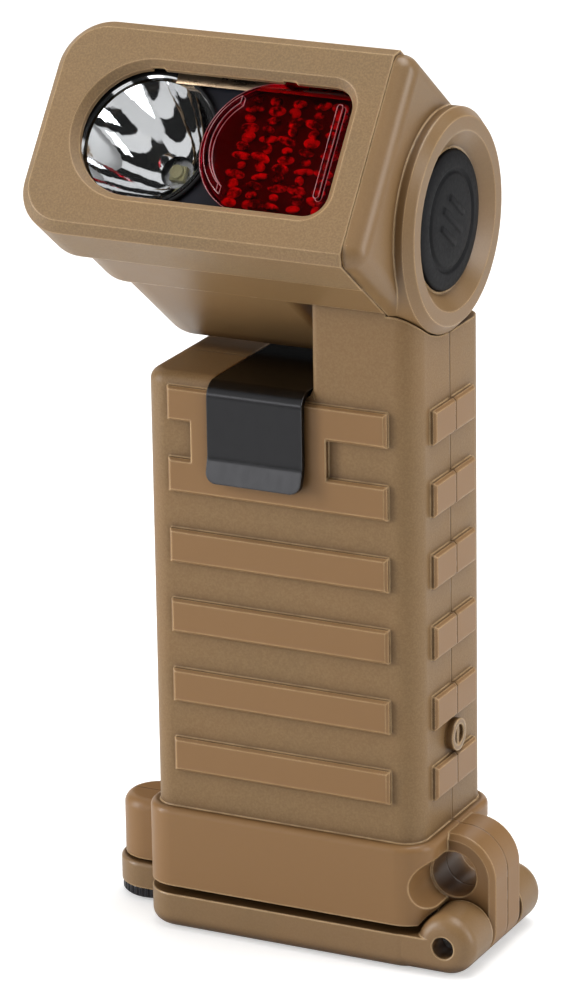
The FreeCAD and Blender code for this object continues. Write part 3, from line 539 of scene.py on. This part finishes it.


# The panel behind the parked filter: a dark plate, round at the lamp's side, with columns of
# small crowned beads that throw light back, their glints partly painted into their colour. No two beads are
# quite alike.
PANEL_FORWARD, PANEL_END, PANEL_R = 15.4, 0.7, 8.4
BEAD_COLUMNS, BEAD_ROWS, BEAD_START = 5, 12, -2.9
BEAD_STEP, BEAD_SCALE, BEAD_R = (2.9, 1.25), (1.9, 1.1, 0.6), 0.55
plate = block((11.9, 2 * PANEL_R, 0.2), (6.65, 0.0, PANEL_FORWARD), 0.05)
round_end = disc(PANEL_R, 0.19, (PANEL_END, 0.0, PANEL_FORWARD), 64)
beads = []
for column in range(BEAD_COLUMNS):
    for row in range(BEAD_ROWS):
        wander = math.sin(2.1 * column + 1.9 * row)
        centre = Vector((BEAD_START + column * BEAD_STEP[0] + 0.28 * wander,
                         (row - 0.5 * (BEAD_ROWS - 1)) * BEAD_STEP[1], PANEL_FORWARD + 0.2))
        tip = (0.35 * math.sin(3.1 * row + 1.7 * column), 0.25 * math.cos(2.3 * row + column), 0.2 * wander)
        deselect()
        bpy.ops.mesh.primitive_uv_sphere_add(segments=20, ring_count=12, radius=BEAD_R * MM,
                                             rotation=tip, location=centre * MM)
        bead = bpy.context.object
        bead.scale = (BEAD_SCALE[0] * (1.0 + 0.35 * math.sin(2.7 * row + column)),
                      BEAD_SCALE[1] * (1.0 + 0.2 * math.sin(1.1 * row + 2.0 * column)), BEAD_SCALE[2])
        bpy.ops.object.transform_apply(location=True, rotation=True, scale=True)
        beads.append(bead)
panel_plastic = plain_finish("panel_grey", (0.045, 0.04, 0.042, 1.0), 0.35)
finish_piece(join([plate, round_end], "filter_panel"), panel_plastic, "head", "dark_plastic",
             "filter_backing")
prism, prism_tree, prism_bsdf = new_material("prism_glints")
glints = use_group(prism_tree, grain_tree, Scale=680.0)
# Bead colours run from near black to near white by noise: painted glints.
glint_colour = mix(prism_tree, ramp(prism_tree, glints["Height"], 0.40, 0.62),
                   (0.05, 0.05, 0.05, 1.0), (0.95, 0.95, 0.93, 1.0))
prism_tree.links.new(glint_colour, prism_bsdf.inputs["Base Color"])
prism_tree.links.new(ramp(prism_tree, glints["Cloud"], *CLOUDY, 0.12, 0.25), prism_bsdf.inputs["Roughness"])
finish_piece(join(beads, "filter_panel_beads"), prism, "head", "nickel")

# A bronze-coated guide strip under each long edge of the window.
bronze = metal("bronze_strip", (0.40, 0.29, 0.19, 1.0), 0.3, 0.06, (0.2, 1.0, 1.0))
strips = [block((26.5, 1.4, 0.18), (-1.25, side * 8.6, 16.03), 0.06) for side in (-1, 1)]
finish_piece(join(strips, "window_guide_strips"), bronze, "head", "brass")


# ---------------------------------------------------------------- red filter
# A sliding plate of deep red polycarbonate with a curved and a straight finger bar. Its edges
# carry a painted pink highlight.
RED_TINT, RED_RIM_HIGHLIGHT = (0.84, 0.002, 0.022, 1.0), (1.0, 0.52, 0.56, 1.0)
dress(clear_plastic("red_polycarbonate", RED_TINT, 0.02, RED_RIM_HIGHLIGHT), "red_filter")


# ---------------------------------------------------------------- switch button
# A moulded rubber cap, slightly domed, with a ring groove and three raised grip ribs to find
# it by touch. It sits in the hub's dish and is pressed along the pivot's axis.
BUTTON_R, BUTTON_BASE, BUTTON_TOP = 8.8, 18.35, 19.05
DOME = ((8.5, 0.16), (7.8, 0.10), (6.7, 0.08), (6.45, -0.26), (6.1, 0.0), (5.85, 0.27),
        (4.4, 0.05), (2.6, 0.03), (1.0, 0.01))      # each ring's radius and its rise over the last
RIBS = ((-2.1, 5.0), (0.0, 6.6), (2.1, 5.0))        # place across the cap and length
cap = disc(BUTTON_R, BUTTON_TOP - BUTTON_BASE, (0.0, 0.0, 0.5 * (BUTTON_TOP + BUTTON_BASE)), 96)
for element in (cap.data.vertices, cap.data.edges, cap.data.polygons):
    element.foreach_set("select", [False] * len(element))
for face in cap.data.polygons:
    face.select = face.normal.z > 0.9
bpy.ops.object.mode_set(mode="EDIT")
bpy.ops.mesh.select_mode(type="FACE")
radius = BUTTON_R
for new_radius, rise in DOME:
    bpy.ops.mesh.inset(thickness=(radius - new_radius) * MM, depth=0.0)
    bpy.ops.transform.translate(value=(0, 0, rise * MM))
    radius = new_radius
bpy.ops.object.mode_set(mode="OBJECT")
cap_top = max(v.co.z for v in cap.data.vertices) / MM
ribs = [block((0.9, length, 0.5), (across, 0.0, cap_top - 0.02), 0.22, 3) for across, length in RIBS]
soften = cap.modifiers.new("soften", "BEVEL")
soften.width, soften.segments, soften.angle_limit = 0.07 * MM, 2, math.radians(20)
deselect()
bpy.context.view_layer.objects.active = cap
cap.select_set(True)
bpy.ops.object.modifier_apply(modifier=soften.name)
# built facing +Z: turned to face +X at the pivot, with the ribs across the head's rise
TO_HUB = HEAD.inverted() @ Matrix.Translation(PIVOT) @ Matrix.Rotation(-TILT, 4, "X") @ Matrix.Rotation(
    math.radians(90), 4, "Y")
for part in [cap, *ribs]:
    part.data.transform(TO_HUB)
finish_piece(join([cap, *ribs], "rubber_button"), black_rubber, "button", "black_rubber", "switch_button")
